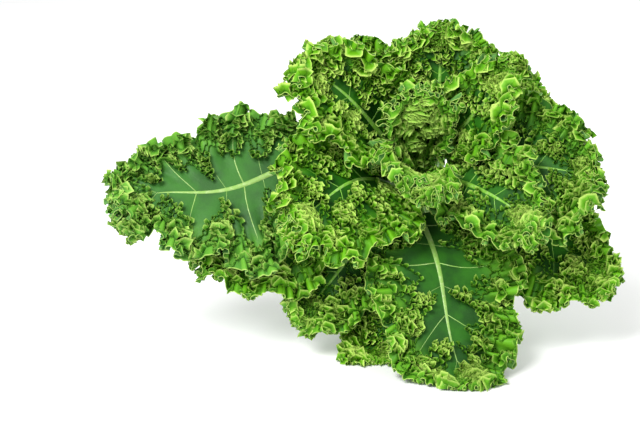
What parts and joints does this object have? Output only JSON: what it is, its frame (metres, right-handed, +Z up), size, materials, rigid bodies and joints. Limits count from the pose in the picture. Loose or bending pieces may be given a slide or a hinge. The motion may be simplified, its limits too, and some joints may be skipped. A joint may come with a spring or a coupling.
{
  "type": "kale bunch",
  "caption": "Picked bunch of curly kale: pale stalks gathered at the back, green ruffled leaves spreading to the front, sides and top; lies on a flat surface.",
  "frame": {"origin": "centre of the bunch's footprint, on the surface that it lies on", "axes": "+X to the right along the bunch's longest side, -Y to the front where the leaves spread, +Z up; the cut stalk ends are at +Y"},
  "size_m": [0.4958, 0.3556, 0.3009],
  "materials": {
    "blade": "waxy",
    "stalk": "smooth"
  },
  "bodies": {
    "root": {"leaf_01_blade": "blade", "leaf_01_stalk": "stalk", "leaf_02_blade": "blade", "leaf_02_stalk": "stalk", "leaf_03_blade": "blade", "leaf_03_stalk": "stalk", "leaf_04_blade": "blade", "leaf_04_stalk": "stalk", "leaf_05_blade": "blade", "leaf_05_stalk": "stalk", "leaf_06_blade": "blade", "leaf_06_stalk": "stalk", "leaf_07_blade": "blade", "leaf_07_stalk": "stalk", "leaf_08_blade": "blade", "leaf_08_stalk": "stalk", "leaf_09_blade": "blade", "leaf_09_stalk": "stalk", "leaf_10_blade": "blade", "leaf_10_stalk": "stalk", "leaf_11_blade": "blade", "leaf_11_stalk": "stalk", "leaf_12_blade": "blade", "leaf_12_stalk": "stalk", "leaf_13_blade": "blade", "leaf_13_stalk": "stalk", "leaf_14_blade": "blade", "leaf_14_stalk": "stalk", "leaf_15_blade": "blade", "leaf_15_stalk": "stalk", "leaf_16_blade": "blade", "leaf_16_stalk": "stalk"}
  },
  "joints": []
}
